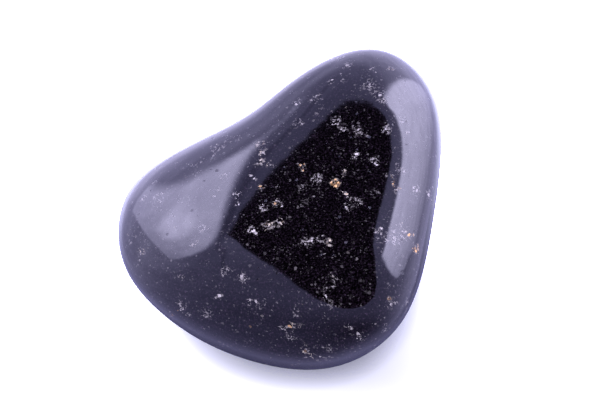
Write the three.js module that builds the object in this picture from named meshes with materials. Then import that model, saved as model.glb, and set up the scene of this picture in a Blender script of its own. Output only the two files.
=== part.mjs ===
// A tumbled black onyx: one polished pebble about 30 mm wide, a soft triangle with a hollow in its left flank, which
// rests on a small worn flat. Millimetres, +Z up. The origin is on the surface that the stone rests on, under the
// middle of its bounding box, and +Y points to its narrow far end.
import * as THREE from "three";
import { mergeVertices } from "three/addons/utils/BufferGeometryUtils.js";

// The rough piece was a chip of chalcedony with flat broken faces, which tumbling wore into one another. Each face is
// written as [azimuth, elevation, distance]. Azimuth and elevation say where the face looks, in degrees: azimuth 0 is
// +X, azimuth 90 is +Y, and elevation 90 is straight up. Distance is how far it lies from the heart of the chip.
const brokenFaces = {
  top: [120, 82, 7.6],
  base: [0, -90, 7.0],
  upperLeftFlank: [115, -18, 11.9],
  upperLeftShoulder: [127, 36, 14.5],
  rightSide: [-9, -10, 9.7],
  lowerLeftSide: [-137, -39, 15.2],
  leftLobe: [202, 36, 20.4],
  farLobe: [37, 31, 15.0],
  nearLobe: [-45, -27, 12.3],
  leftSlope: [151, 59, 10.9],
  rightSlope: [-8, 60, 12.1],
  farSlope: [116, 79, 21.8],
  nearSlope: [-107, 28, 16.1],
  underLeft: [185, -54, 11.4],
  underRight: [0, -50, 9.0],
  underFar: [75, -50, 11.0],
  underNear: [-94, -52, 11.6],
};

// How little the tumbling has rounded the edges between the faces: 2 is an ellipsoid, and 40 is a freshly broken chip.
const edgeSharpness = 7;

// The shallow hollow along the upper left flank. Depth and width are shares of the stone's own reach there.
const flankHollow = { azimuth: 128, elevation: -3, depth: 0.19, width: 0.34 };

// The heart of the chip lies this high above the surface that the stone rests on. That is less than the base's own
// distance, so the lowest part of the belly is worn off to a small true flat.
const heartHeight = 6.6;

// The stone's skin is a cube's six sides blown up, with this many squares along each edge of a side.
const squaresPerEdge = 20;

function direction(azimuth, elevation) {
  const fromZenith = THREE.MathUtils.degToRad(90 - elevation);
  const around = THREE.MathUtils.degToRad(azimuth);
  return new THREE.Vector3(
    Math.sin(fromZenith) * Math.cos(around),
    Math.sin(fromZenith) * Math.sin(around),
    Math.cos(fromZenith),
  );
}

const faces = Object.values(brokenFaces).map(([azimuth, elevation, distance]) => ({
  normal: direction(azimuth, elevation),
  distance,
}));

const hollowDirection = direction(flankHollow.azimuth, flankHollow.elevation);

// How far the skin is from the heart of the chip in a direction. With a high edgeSharpness the nearest face alone
// would set it, and a lower one lets the neighbouring faces in, which rounds the edges and corners between them.
function reach(outwards) {
  const nearness = faces.reduce((sum, { normal, distance }) => {
    const facing = Math.max(outwards.dot(normal), 0);
    return sum + (facing / distance) ** edgeSharpness;
  }, 0);
  const offHollow = outwards.distanceToSquared(hollowDirection);
  const wornAway = flankHollow.depth * Math.exp(-offHollow / (2 * flankHollow.width ** 2));
  return nearness ** (-1 / edgeSharpness) * (1 - wornAway);
}

function stoneGeometry() {
  const cube = new THREE.BoxGeometry(2, 2, 2, squaresPerEdge, squaresPerEdge, squaresPerEdge);
  cube.deleteAttribute("normal");
  cube.deleteAttribute("uv");
  const skin = mergeVertices(cube);

  // The tangent spaces the squares at even angles before the cube is blown up, so none is much larger than another.
  const atEvenAngle = (place) => Math.tan((place * Math.PI) / 4);
  const places = skin.attributes.position;
  const point = new THREE.Vector3();
  for (let i = 0; i < places.count; i += 1) {
    point.fromBufferAttribute(places, i);
    point.set(atEvenAngle(point.x), atEvenAngle(point.y), atEvenAngle(point.z)).normalize();
    point.multiplyScalar(reach(point));
    point.z = Math.max(point.z + heartHeight, 0);
    places.setXYZ(i, point.x, point.y, point.z);
  }

  skin.computeBoundingBox();
  const middle = skin.boundingBox.getCenter(new THREE.Vector3());
  skin.translate(-middle.x, -middle.y, 0);
  skin.computeVertexNormals();
  return skin;
}

// Black chalcedony has next to no colour of its own, and the polish is close to a mirror.
const polishedOnyx = new THREE.MeshStandardMaterial({ color: 0x0d0b10, roughness: 0.06, metalness: 0 });

const stone = new THREE.Mesh(stoneGeometry(), polishedOnyx);
stone.name = "stone";

const blackOnyx = new THREE.Group();
blackOnyx.add(stone);

export default blackOnyx;
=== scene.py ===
# A tumbled black onyx pebble on a white table in a light tent, seen from above its near side.
import math

import bpy
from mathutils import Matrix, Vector
from mathutils.bvhtree import BVHTree


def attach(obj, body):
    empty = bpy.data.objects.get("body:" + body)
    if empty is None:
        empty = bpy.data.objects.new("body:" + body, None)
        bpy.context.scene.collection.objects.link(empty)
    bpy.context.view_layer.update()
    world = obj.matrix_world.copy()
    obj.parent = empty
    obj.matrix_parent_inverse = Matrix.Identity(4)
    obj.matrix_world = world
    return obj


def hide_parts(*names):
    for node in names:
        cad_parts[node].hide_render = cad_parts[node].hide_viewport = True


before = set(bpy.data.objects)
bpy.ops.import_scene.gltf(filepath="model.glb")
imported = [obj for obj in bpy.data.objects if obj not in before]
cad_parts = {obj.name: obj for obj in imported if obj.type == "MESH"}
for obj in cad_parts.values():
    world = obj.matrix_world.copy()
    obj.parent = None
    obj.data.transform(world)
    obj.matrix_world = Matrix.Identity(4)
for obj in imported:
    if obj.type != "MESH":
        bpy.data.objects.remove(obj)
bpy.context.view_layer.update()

mm = 0.001


# The stone: a chip of black chalcedony that was tumbled with ever finer grit until its edges were round and
# its skin was a mirror. The solid has its form. Here its facets are smoothed away, and the skin gets fine
# grey dust, white, cream and orange flecks under the polish, and a few pits that the polish missed.

class Wire:
    """A value in a node tree. Arithmetic on it adds Math nodes, and node() adds any other node."""

    def __init__(self, tree, socket=None):
        self.tree = tree
        self.socket = socket

    def node(self, kind, settings={}, sockets={}, output=0):
        made = self.tree.nodes.new(kind)
        for name, setting in settings.items():
            setattr(made, name, setting)
        for name, value in sockets.items():
            if isinstance(value, Wire):
                self.tree.links.new(value.socket, made.inputs[name])
            else:
                made.inputs[name].default_value = value
        return Wire(self.tree, made.outputs[output]) if made.outputs else made

    def other(self, output):
        """Another output of the same node."""
        return Wire(self.tree, self.socket.node.outputs[output])

    def maths(self, operation, *values):
        return self.node("ShaderNodeMath", {"operation": operation}, dict(enumerate(values)))

    def __add__(self, other):
        return self.maths("ADD", self, other)

    def __mul__(self, other):
        return self.maths("MULTIPLY", self, other)

    def __sub__(self, other):
        return self.maths("SUBTRACT", self, other)

    def __rsub__(self, other):
        return self.maths("SUBTRACT", other, self)

    def __rtruediv__(self, other):
        return self.maths("DIVIDE", other, self)

    __radd__ = __add__
    __rmul__ = __mul__

    def at_least(self, other):
        """This value or the other one, whichever is larger."""
        return self.maths("MAXIMUM", self, other)

    def rise(self, low, high):
        """0 below low, 1 above high, and a smooth step between them. With low above high it falls."""
        settings = {"interpolation_type": "SMOOTHSTEP"}
        return self.node("ShaderNodeMapRange", settings, {0: self, 1: low, 2: high})

    def blend(self, one, other):
        """The first colour where this value is 0, and the second where it is 1."""
        return self.node("ShaderNodeMix", {"data_type": "RGBA"}, {0: self, 6: one, 7: other}, 2)

    def distance(self, place):
        """How far this position is from a place."""
        return self.node("ShaderNodeVectorMath", {"operation": "DISTANCE"}, {0: self, 1: place}, 1)

    def stirred(self, noise, reach):
        """This position, moved along each axis by a noise's colour times the reach."""
        settings = {"operation": "MULTIPLY_ADD"}
        return self.node("ShaderNodeVectorMath", settings, {0: noise, 1: (reach,) * 3, 2: self})


# A copy of the solid's shape. Its loose triangles are merged into squares, so that they smooth evenly.
merge_distance = 0.001 * mm
smoothing_levels = 2

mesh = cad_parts["stone"].data.copy()
mesh.materials.clear()
polished_stone = bpy.data.objects.new("polished_stone", mesh)
bpy.context.collection.objects.link(polished_stone)
bpy.ops.object.select_all(action="DESELECT")
bpy.context.view_layer.objects.active = polished_stone
polished_stone.select_set(True)
bpy.ops.object.mode_set(mode="EDIT")
bpy.ops.mesh.select_all(action="SELECT")
bpy.ops.mesh.remove_doubles(threshold=merge_distance)
bpy.ops.mesh.tris_convert_to_quads(face_threshold=math.pi, shape_threshold=math.pi)
bpy.ops.object.mode_set(mode="OBJECT")
bpy.ops.mesh.customdata_custom_splitnormals_clear()
smoothing = polished_stone.modifiers.new("smoothing", "SUBSURF")
smoothing.levels = smoothing_levels
smoothing.render_levels = smoothing_levels
bpy.ops.object.modifier_apply(modifier=smoothing.name)
bpy.ops.object.shade_smooth()

# Where the camera is, which is also where each cluster of grains was picked from.
camera_aim = Vector((2.42, 1.34, 6.8)) * mm
camera_distance = 300 * mm
camera_elevation = math.radians(60)
view_width = 56.25 * mm
picture_width = 612
picture_height = 408
back = Vector((0, -math.cos(camera_elevation), math.sin(camera_elevation)))
right = Vector((1, 0, 0))
camera_place = camera_aim + back * camera_distance
smooth_skin = BVHTree.FromPolygons([vertex.co for vertex in polished_stone.data.vertices],
                                   [face.vertices for face in polished_stone.data.polygons])


def on_skin(across, down):
    """The place on the stone's skin, in millimetres, that the camera shows at a pixel of the picture."""
    pixel = view_width / picture_width
    aside = right * (across - picture_width / 2) * pixel
    above = back.cross(right) * (picture_height / 2 - down) * pixel
    towards = (camera_aim + aside + above - camera_place).normalized()
    return smooth_skin.ray_cast(camera_place, towards)[0] / mm


# The clusters of grains, each as the pixel across and down of its middle, its radius in
# millimetres and how warm its grains are: 0 is white, 1 is cream and 2 is orange.
fleck_clusters = {
    "narrow far end": [
        (371, 85, 0.8, 0), (378, 92, 0.7, 0), (383, 99, 0.6, 0), (348, 66, 0.6, 0), (374, 70, 0.4, 0),
        (391, 68, 0.4, 1), (331, 82, 0.4, 0), (342, 76, 0.3, 0), (316, 98, 0.6, 0), (298, 102, 0.5, 0),
        (320, 111, 0.4, 0), (298, 124, 0.6, 0)],
    "top facet": [
        (337, 122, 0.6, 0), (342, 130, 0.5, 0), (357, 131, 0.6, 0), (387, 129, 0.5, 0), (301, 166, 0.6, 2),
        (317, 179, 0.6, 0), (335, 183, 0.5, 2), (345, 173, 0.4, 1), (344, 194, 0.4, 1), (350, 199, 0.4, 1),
        (357, 202, 0.5, 0), (348, 207, 0.4, 0), (375, 160, 0.6, 0), (357, 155, 0.4, 0), (275, 204, 0.5, 1),
        (281, 205, 0.3, 0), (263, 209, 0.5, 0), (268, 225, 0.6, 1), (280, 222, 0.5, 1), (253, 230, 0.5, 0),
        (308, 242, 0.6, 0), (320, 239, 0.4, 0), (329, 242, 0.5, 1), (324, 254, 0.3, 0), (331, 276, 0.3, 1),
        (333, 285, 0.3, 0), (263, 188, 0.3, 2)],
    "left slope": [
        (260, 164, 0.6, 1), (270, 165, 0.5, 1), (263, 152, 0.6, 0), (255, 178, 0.4, 0), (238, 195, 0.5, 0),
        (237, 205, 0.4, 0), (243, 278, 0.6, 0)],
    "left lobe": [
        (174, 164, 0.4, 0), (202, 161, 0.3, 0), (215, 150, 0.6, 0), (192, 165, 0.3, 0), (155, 181, 0.4, 0),
        (144, 198, 0.5, 0), (158, 198, 0.5, 0), (172, 213, 0.4, 0), (176, 228, 0.3, 1), (204, 228, 0.5, 0),
        (195, 244, 0.4, 1), (142, 252, 0.6, 1), (130, 243, 0.4, 0), (225, 176, 0.5, 0)],
    "right slope": [
        (392, 175, 0.4, 2), (394, 182, 0.4, 2), (397, 188, 0.4, 2), (407, 133, 0.3, 1), (403, 227, 0.4, 1),
        (411, 235, 0.4, 2), (416, 249, 0.6, 2), (396, 243, 0.4, 0), (429, 196, 0.5, 0), (434, 201, 0.3, 2),
        (381, 231, 0.5, 0)],
    "near side": [
        (181, 275, 0.3, 1), (180, 304, 0.6, 0), (177, 310, 0.3, 2), (172, 315, 0.4, 2), (188, 315, 0.3, 0),
        (205, 310, 0.3, 0), (218, 296, 0.4, 0), (252, 303, 0.5, 0), (263, 305, 0.5, 0), (291, 327, 0.5, 2),
        (299, 325, 0.4, 1), (283, 328, 0.4, 0), (296, 313, 0.4, 0), (291, 337, 0.6, 0), (305, 350, 0.6, 1),
        (311, 355, 0.5, 1), (328, 348, 0.5, 0), (320, 306, 0.3, 0), (391, 304, 0.6, 0), (390, 299, 0.3, 2),
        (349, 329, 0.5, 0), (360, 337, 0.5, 0), (386, 329, 0.4, 0)],
}

# How crowded the grains are in the clusters of each part of the skin.
crowding = {"narrow far end": 0.7, "top facet": 0.95, "left slope": 0.75, "left lobe": 0.55,
            "right slope": 0.7, "near side": 0.5}

# A cluster is as crowded as it gets inside the first of these shares of its radius, and ends at the second.
cluster_core = 0.35
cluster_end = 1.25

# Each kind of grain, and the pits, fill some cells of a pattern. The width of a cell is in millimetres, and
# the radii are shares of it. "filled" is the share of cells that hold one on plain skin, and what patches
# and clusters add to it. "clear" is how clearly one shows on plain skin, and what clusters add to that.
# Warm grains are bigger, by these shares of a cell.
small_grains = {"cell": 0.16, "radii": (0.20, 0.60), "filled": (0.06, 0.14, 0.55), "clear": (0.12, 0.45)}
large_grains = {"cell": 0.27, "radii": (0.22, 0.66), "filled": (0.02, 0.03, 0.60), "clear": (0.18, 1.15)}
pits = {"cell": 0.55, "radii": (0.10, 0.32), "filled": (0.10, 0.0, 0.0)}
warm_growth = (0.25, 0.30)
faintest_large_grain = 0.06
grain_softness = 0.08
pick_softness = 0.02

# How wide the lumps of each cloudy pattern are, in millimetres. Some patterns start to show at the first of
# two values and are full at the second.
lump = {"dust": 0.17, "ragged edges": 0.13, "drift": 0.7, "patches": 1.6, "stray clusters": 2.6,
        "stray warmth": 3.1, "threads": 0.55, "breaks in threads": 0.30, "waves in the polish": 1.7}
shows = {"patches": (0.35, 0.70), "stray clusters": (0.60, 0.72), "stray warmth": (0.58, 0.70),
         "breaks in threads": (0.42, 0.60)}
cloud_roughness = 0.6

# How far the edges of the grains and the clusters are moved, in millimetres.
raggedness = 0.24
drift_reach = 0.4

# A thread runs where its pattern is this close to its middle value.
thread_edges = (0.045, 0.015)
thread_clearness = 0.70

# How strongly the dust varies, how crowded and how warm the stray clusters are, and how fast warmth turns a
# grain cream. A grain turns orange where the warmth passes its chance by this much.
dust_contrast = 13.0
stray_crowding = 0.6
half_warm = 0.5
cream_share = 1.6
orange_edges = (0.30, 0.50)

# How rough the mirror polish is, and what dull grains and pits add to that.
roughness = {"polish": 0.05, "grain": 0.40, "pit": 0.30}

# How far each thing dents the skin, next to the edge of a grain.
dent = {"dust": 0.12, "pit": 2.5, "wave": 1.5}
dent_depth = 0.01 * mm
dent_strength = 0.25

onyx_black = (0.0024, 0.0015, 0.0030, 1)
white_grain = (0.74, 0.66, 0.79, 1)
cream_grain = (0.92, 0.74, 0.62, 1)
orange_grain = (0.92, 0.52, 0.27, 1)
chalcedony_ior = 1.54


def polished_onyx():
    material = bpy.data.materials.new("polished_onyx")
    material.use_nodes = True
    tree = material.node_tree
    shader = tree.nodes["Principled BSDF"]
    wire = Wire(tree)
    place = wire.node("ShaderNodeTexCoord", output="Object")
    in_mm = wire.node("ShaderNodeVectorMath", {"operation": "SCALE"}, {0: place, "Scale": 1 / mm})

    def clouds(kind, detail=3.0, output=0):
        """Cloudy noise with lumps of this kind's width."""
        sockets = {"Vector": in_mm, "Scale": 1 / lump[kind], "Detail": detail, "Roughness": cloud_roughness}
        return wire.node("ShaderNodeTexNoise", {}, sockets, output)

    wobble = clouds("ragged edges", 2.0, output=1)
    ragged = in_mm.stirred(wobble, raggedness)
    sockets = {"Vector": in_mm, "Scale": 1 / lump["drift"]}
    drift = wire.node("ShaderNodeTexNoise", {"normalize": False}, sockets, 1)
    drifted = in_mm.stirred(drift, drift_reach)

    crowd = clouds("stray clusters").rise(*shows["stray clusters"]) * stray_crowding
    warmth = clouds("stray warmth").rise(*shows["stray warmth"]) * half_warm
    for part_of_skin, clusters in fleck_clusters.items():
        for across, down, radius, warm in clusters:
            gap = drifted.distance(on_skin(across, down))
            near = gap.rise(cluster_end * radius, cluster_core * radius)
            crowd = crowd.at_least(near * crowding[part_of_skin])
            if warm:
                warmth = warmth.at_least(near * (half_warm * warm))
    patchy = clouds("patches").rise(*shows["patches"])

    def grains(kind, growth=(0.0, 0.0)):
        """Ragged grains of a kind, and two random numbers that each grain keeps: its light and its chance."""
        cells = wire.node("ShaderNodeTexVoronoi", {}, {"Vector": ragged, "Scale": 1 / kind["cell"]})
        colour = cells.other("Color")
        chance, size, light = (wire.node("ShaderNodeSeparateXYZ", {}, {0: colour}, n) for n in range(3))
        smallest, largest = kind["radii"]
        radius = smallest + growth[0] + (largest - smallest + growth[1] - growth[0]) * size
        within = (radius - cells).rise(-grain_softness, grain_softness)
        plain, in_patches, in_clusters = kind["filled"]
        share = plain + in_patches * patchy + in_clusters * crowd
        picked = (share - chance).rise(0.0, pick_softness)
        return within * picked, light, chance

    def clearness(kind):
        """How clearly the grains of a kind show."""
        plain, in_clusters = kind["clear"]
        return plain + in_clusters * crowd

    small, small_light = grains(small_grains)[:2]
    large, large_light, large_chance = grains(large_grains, [growth * warmth for growth in warm_growth])
    pit = grains(pits)[0]
    off_thread = wire.maths("ABSOLUTE", clouds("threads", 1.0) - 0.5)
    unbroken = clouds("breaks in threads", 2.0).rise(*shows["breaks in threads"])
    thread = off_thread.rise(*thread_edges) * unbroken * crowd

    small_share = small * small_light * clearness(small_grains)
    large_light_share = faintest_large_grain + (1 - faintest_large_grain) * large_light * large_light
    large_share = large * large_light_share * clearness(large_grains)
    large_share = large_share.at_least(thread_clearness * thread)

    grain = (warmth * cream_share * large_light).blend(white_grain, cream_grain)
    grain = (warmth - large_chance).rise(*orange_edges).blend(grain, orange_grain)
    fine = clouds("dust")
    dust = wire.maths("EXPONENT", dust_contrast * (fine - 0.5))
    skin = wire.node("ShaderNodeVectorMath", {"operation": "SCALE"}, {0: onyx_black[:3], "Scale": dust})
    skin = small_share.blend(skin, white_grain)
    skin = large_share.blend(skin, grain)
    tree.links.new(skin.socket, shader.inputs["Base Color"])

    dull = small_share.at_least(large_share)
    rough = roughness["polish"] + roughness["grain"] * dull + roughness["pit"] * pit
    tree.links.new(rough.socket, shader.inputs["Roughness"])
    wave = clouds("waves in the polish", 2.0)
    relief = dent["dust"] * fine + dull + dent["pit"] * pit + dent["wave"] * wave
    sockets = {"Strength": dent_strength, "Distance": dent_depth, "Height": relief}
    bump = wire.node("ShaderNodeBump", {"invert": True}, sockets)
    tree.links.new(bump.socket, shader.inputs["Normal"])
    shader.inputs["IOR"].default_value = chalcedony_ior
    return material


polished_stone.data.materials.append(polished_onyx())
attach(polished_stone, "root")
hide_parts("stone")


# The table: a sheet of smooth white card, brightest behind the stone, with a tight shade where the stone
# touches it and a faint one on its near right, all of it painted light in the card's colour. The polish shows
# a painted reflection of the card too, dimmer in front and on the right. Further out the card fades out of
# the polish, so there the polish shows the tent.

table_width = 3.0
card_white = (0.80, 0.80, 0.85, 1)
black = (0, 0, 0, 1)

# The card's painted glow, a colour brighter than white, rises from front to back over a stretch that lies
# further back when the polish shows it. In the polish the front is a darker, bluer painted reflection.
painted_glow_behind = (4.0, 4.0, 5.6, 1)
painted_glow_in_front = (1.6, 1.6, 1.8, 1)
painted_reflection_in_front = (0.65, 0.63, 1.15, 1)
painted_glow_rise = (-15 * mm, 15 * mm)
mirrored_rise_shift = 10 * mm

# A painted shadow where the stone touches the card: its colour darkens where the stone closes it in. The
# polish shows it wider, and with a steeper fall.
painted_contact_shadow = (0.06, 0.06, 0.14, 1)
shade_reach = 3.5 * mm
mirrored_shade_reach = 8 * mm
shade_power = 1.3
mirrored_shade_power = 3.0
shade_samples = 8

# The painted shadow on the near right that the camera sees, and the painted shade on the right that the
# polish shows. Each goes from none to full between two places, and takes away a share of the painted glow.
near_right = (12 * mm, -9 * mm, 0)
near_right_edges = (12 * mm, 4 * mm)
painted_near_right_shadow = 0.32
right_edges = (5 * mm, 16 * mm)
painted_right_reflection_shade = 0.44

# Where the card starts to fade out of the polish and where it is gone, so that the polish shows the tent, as
# distances from a middle.
card_bend_middle = (3 * mm, 6 * mm, 0)
card_bend = (24 * mm, 38 * mm)

bpy.ops.object.select_all(action="DESELECT")
bpy.ops.mesh.primitive_plane_add(size=table_width)
table = bpy.context.object
table.name = "table"
card = bpy.data.materials.new("white_card")
card.use_nodes = True
card.node_tree.nodes.clear()
wire = Wire(card.node_tree)
spot = wire.node("ShaderNodeTexCoord", output="Object")
away = wire.node("ShaderNodeSeparateXYZ", {}, {0: spot}, 1)
mirrored = wire.node("ShaderNodeLightPath", output="Is Glossy Ray")
seen = mirrored.other("Is Camera Ray")
# The card's colour is a painted glow, brightest behind, with a darker painted reflection in front for the
# polish.
shift = mirrored_rise_shift * mirrored
behind = away.rise(painted_glow_rise[0] + shift, painted_glow_rise[1] + shift)
glow = behind.blend(mirrored.blend(painted_glow_in_front, painted_reflection_in_front), painted_glow_behind)
# A painted shadow on the near right for the camera, and a painted shade on the right in the polish.
near_right_painted_shadow_mask = painted_near_right_shadow * seen * spot.distance(near_right).rise(*near_right_edges)
glow = near_right_painted_shadow_mask.blend(glow, black)
right_painted_reflection_shade_mask = painted_right_reflection_shade * mirrored * away.other("X").rise(*right_edges)
glow = right_painted_reflection_shade_mask.blend(glow, black)
# The painted contact shadow: the card's colour darkens where the stone closes it in.
reach = shade_reach + (mirrored_shade_reach - shade_reach) * mirrored
openness = wire.node("ShaderNodeAmbientOcclusion", {"samples": shade_samples}, {"Distance": reach}, 1)
power = shade_power + (mirrored_shade_power - shade_power) * mirrored
glow = openness.maths("POWER", openness, power).blend(painted_contact_shadow, glow)
# Only the camera and the polish see this painted light and shade; other rays see the plain white card.
sheet = wire.node("ShaderNodeBsdfDiffuse", {}, {"Color": (mirrored + seen).blend(card_white, glow)})
curved_up = wire.node("ShaderNodeBsdfTransparent")
bent = mirrored * spot.distance(card_bend_middle).rise(*card_bend)
finish = wire.node("ShaderNodeMixShader", {}, {0: bent, 1: sheet, 2: curved_up})
wire.node("ShaderNodeOutputMaterial", {}, {"Surface": finish})
table.data.materials.append(card)


# The light tent: white cloth walls that are brightest behind the stone and dim towards the camera and the
# roof. Two lamps behind the cloth each light a patch of it, and the cloth has a seam and a few brighter and
# dimmer places. The camera looks in through a black slot in the roof.

wall_light = {"level": 1.65, "far": 1.33, "far_squared": -0.21, "up": -1.20, "up_and_far": -1.27,
              "down": -0.65, "down_and_far": -0.62}
left_lamp_light = {"level": -1.2, "height": 3.4, "far": 6.2, "spot": 2.2}
right_lamp_light = {"level": -2.2, "height": 5.5, "far": 8.3}
dim_cloth = (1.04, 1.0, 2.4, 1)
bright_cloth = (1.05, 1.0, 1.35, 1)
soft_light = (0.60, 0.60, 0.75, 1)
white = (1, 1, 1, 1)

# The seam takes away a share of the light, and the weave lets through a share between these two.
seam_shade = 0.35
weave_dark = 0.68
weave_light = 1.32
weave_scale = 11.0
weave_detail = 4.0
weave_roughness = 0.6

# Places on the cloth are rings as seen from the stone: the azimuth and elevation of the middle and the
# radius, in degrees, and how soft the edge is. Each lamp's patch, and the seam, lies inside some rings and
# outside others.
left_lamp_rings = {
    "inside": [(138, 24, 25.8, 0.010), (135, 73, 90.5, 0.02)],
    "outside": [(99, 5, 26, 0.015), (187, -7, 52, 0.010), (167, 57, 13.0, 0.006)],
}
right_lamp_rings = {
    "inside": [(53, 19, 38, 0.010), (122, -1, 102, 0.02), (114, 42, 83.5, 0.012)],
    "outside": [(133, -17, 72.5, 0.015), (110, 57, 26, 0.008)],
}
seam_rings = {
    "inside": [(0, 37, 81.0, 0.006), (125, 50, 25, 0.05)],
    "outside": [(0, 37, 79.4, 0.006)],
}
bright_spot = (130, 31, 7, 0.0074)

# The brighter and dimmer places of the cloth, with what each adds to the light.
wall_places = {
    "low glow": (0.9, (112, -32, 28, 0.08)),
    "left glimmer": (0.4, (160, 30, 20, 0.05)),
    "left dusk": (-0.5, (150, -5, 20, 0.05)),
    "dim gap": (-0.5, (100, 38, 16, 0.02)),
    "dark fold": (-0.6, (115, 6, 12, 0.015)),
}

world = bpy.data.worlds.new("light_tent")
bpy.context.scene.world = world
world.use_nodes = True
sky = Wire(world.node_tree)
looking = sky.node("ShaderNodeTexCoord", output="Generated")
far = sky.node("ShaderNodeSeparateXYZ", {}, {0: looking}, 1)
height = far.other("Z")
up = height.at_least(0.0)
down = (-1 * height).at_least(0.0)


def heading(azimuth, elevation):
    """The direction of a place in the tent, in degrees. Azimuth 0 is to the right and 90 is far."""
    level = math.cos(math.radians(elevation))
    return Vector((level * math.cos(math.radians(azimuth)), level * math.sin(math.radians(azimuth)),
                   math.sin(math.radians(elevation))))


def ring(azimuth, elevation, radius, softness):
    """1 inside a ring on the cloth and 0 outside it, with a soft edge."""
    sockets = {0: looking, 1: heading(azimuth, elevation)}
    facing = sky.node("ShaderNodeVectorMath", {"operation": "DOT_PRODUCT"}, sockets, 1)
    edge = math.cos(math.radians(radius))
    return facing.rise(edge - softness, edge + softness)


def patch(rings):
    """1 on the cloth that is inside and outside these rings."""
    shape = 1
    for place in rings["inside"]:
        shape = shape * ring(*place)
    for place in rings["outside"]:
        shape = shape * (1 - ring(*place))
    return shape


walls = (wall_light["level"] + wall_light["far"] * far + wall_light["far_squared"] * far * far
         + wall_light["up"] * up + wall_light["up_and_far"] * up * far
         + wall_light["down"] * down + wall_light["down_and_far"] * down * far)
for light, place in wall_places.values():
    walls = walls + light * ring(*place)
walls = walls * (1 - seam_shade * patch(seam_rings))
left_lamp = patch(left_lamp_rings)
left_glow = (left_lamp_light["level"] + left_lamp_light["height"] * height + left_lamp_light["far"] * far
             + left_lamp_light["spot"] * ring(*bright_spot))
right_lamp = patch(right_lamp_rings)
right_glow = right_lamp_light["level"] + right_lamp_light["height"] * height + right_lamp_light["far"] * far
shine = walls * (1 - left_lamp) * (1 - right_lamp) + left_glow * left_lamp + right_glow * right_lamp
sockets = {"Vector": looking, "Scale": weave_scale, "Detail": weave_detail, "Roughness": weave_roughness}
weave = sky.node("ShaderNodeTexNoise", {}, sockets)
shine = shine * (weave_dark + (weave_light - weave_dark) * weave)
tint = (1 / (1 + shine)).blend(bright_cloth, dim_cloth)

# Only the polish shows the tent. The camera sees plain white there, and everything else gets soft light.
mirrored = sky.node("ShaderNodeLightPath", output="Is Glossy Ray")
seen = mirrored.other("Is Camera Ray")
plain = seen.blend(soft_light, white)
background = world.node_tree.nodes["Background"]
world.node_tree.links.new(mirrored.blend(plain, tint).socket, background.inputs["Color"])
world.node_tree.links.new((shine * mirrored + 1 - mirrored).socket, background.inputs["Strength"])

# Each corner of the slot is as far across and away as its share of the height of the roof.
roof_height = 2.0
slot_corners = [
    (-0.425, 0.81), (-0.38, 1.035), (-0.315, 1.105), (-0.14, 1.15), (0.03, 1.15), (0.105, 1.09),
    (0.14, 0.97), (0.16, 0.93), (0.15, 0.87), (0.155, 0.78), (0.18, 0.675), (0.25, 0.49),
    (0.32, 0.21), (0.32, -0.12), (0.135, -0.48), (-0.09, -0.67), (-0.21, -0.73), (-0.285, -0.71),
    (-0.35, -0.46), (-0.315, -0.11), (-0.29, 0.155), (-0.29, 0.36), (-0.32, 0.55), (-0.365, 0.70),
]
bpy.ops.object.select_all(action="DESELECT")
bpy.ops.mesh.primitive_circle_add(vertices=len(slot_corners), fill_type="NGON", location=(0, 0, 0))
roof_slot = bpy.context.object
roof_slot.name = "roof_slot"
for corner, vertex in zip(slot_corners, roof_slot.data.vertices):
    vertex.co = (corner[0] * roof_height, corner[1] * roof_height, roof_height)
darkness = bpy.data.materials.new("darkness")
darkness.use_nodes = True
darkness.node_tree.nodes.clear()
wire = Wire(darkness.node_tree)
nothing = wire.node("ShaderNodeEmission", {}, {"Color": black, "Strength": 0.0})
wire.node("ShaderNodeOutputMaterial", {}, {"Surface": nothing})
roof_slot.data.materials.append(darkness)
roof_slot.visible_camera = False
roof_slot.visible_diffuse = False
roof_slot.visible_shadow = False

lamp_colour = (1.0, 1.0, 0.95)


def soft_lamp(name, place, size, energy):
    """A broad lamp that looks at the stone and is hidden from its polish."""
    lamp_data = bpy.data.lights.new(name, "AREA")
    lamp_data.size = size
    lamp_data.energy = energy
    lamp_data.color = lamp_colour
    lamp = bpy.data.objects.new(name, lamp_data)
    bpy.context.collection.objects.link(lamp)
    lamp.location = place
    lamp.rotation_euler = Vector(place).to_track_quat("Z", "Y").to_euler()
    lamp.visible_glossy = False


soft_lamp("lamp_above", place=(0, 0.2, 1.2), size=1.6, energy=10)
soft_lamp("lamp_in_front", place=(0.1, -1.2, 0.6), size=1.0, energy=12)


# The camera: on the near side of the stone, thirty centimetres off, looking down on it at sixty degrees.
# Its view is a little under twice as wide as the stone.

sensor_width = 36
nearest_seen = 10 * mm

camera_data = bpy.data.cameras.new("camera")
camera = bpy.data.objects.new("camera", camera_data)
bpy.context.collection.objects.link(camera)
camera.location = camera_place
camera.rotation_euler = back.to_track_quat("Z", "Y").to_euler()
camera_data.sensor_width = sensor_width
camera_data.lens = sensor_width * camera_distance / view_width
camera_data.clip_start = nearest_seen
bpy.context.scene.camera = camera
bpy.context.scene.view_settings.view_transform = "Standard"
